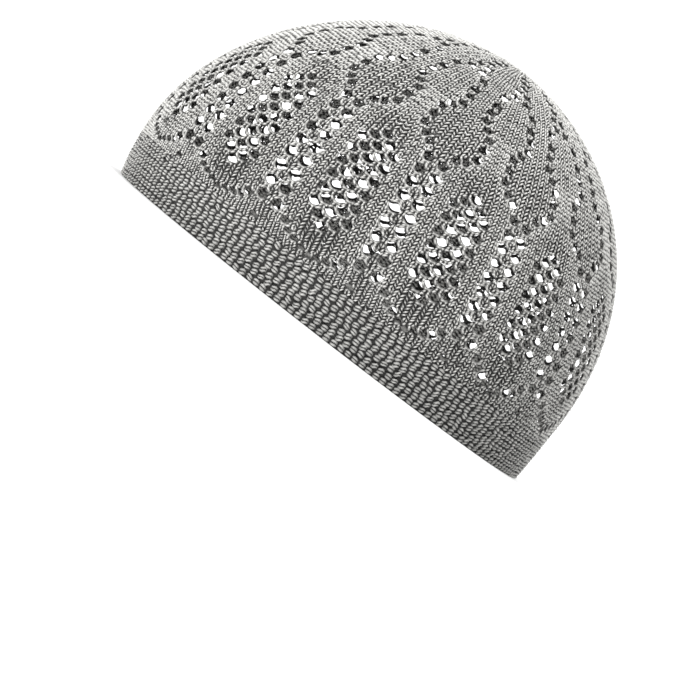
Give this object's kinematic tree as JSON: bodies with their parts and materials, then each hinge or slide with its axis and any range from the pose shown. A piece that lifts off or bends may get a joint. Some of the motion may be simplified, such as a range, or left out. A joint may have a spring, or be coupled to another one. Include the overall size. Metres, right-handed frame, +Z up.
{
  "type": "kufi skullcap",
  "caption": "Knitted openwork skullcap: a domed crown pierced by rows of eyelets on a ridged band, open underneath and resting on its rim.",
  "frame": {"origin": "middle of the bounding box at its bottom, where the rim rests", "axes": "+Z up through the crown, X front to back with the front towards -X, Y side to side"},
  "size_m": [0.2069, 0.1651, 0.1315],
  "materials": {
    "yarn": "matt knitted yarn"
  },
  "bodies": {
    "root": {"crown": "yarn", "band": "yarn"}
  },
  "joints": []
}
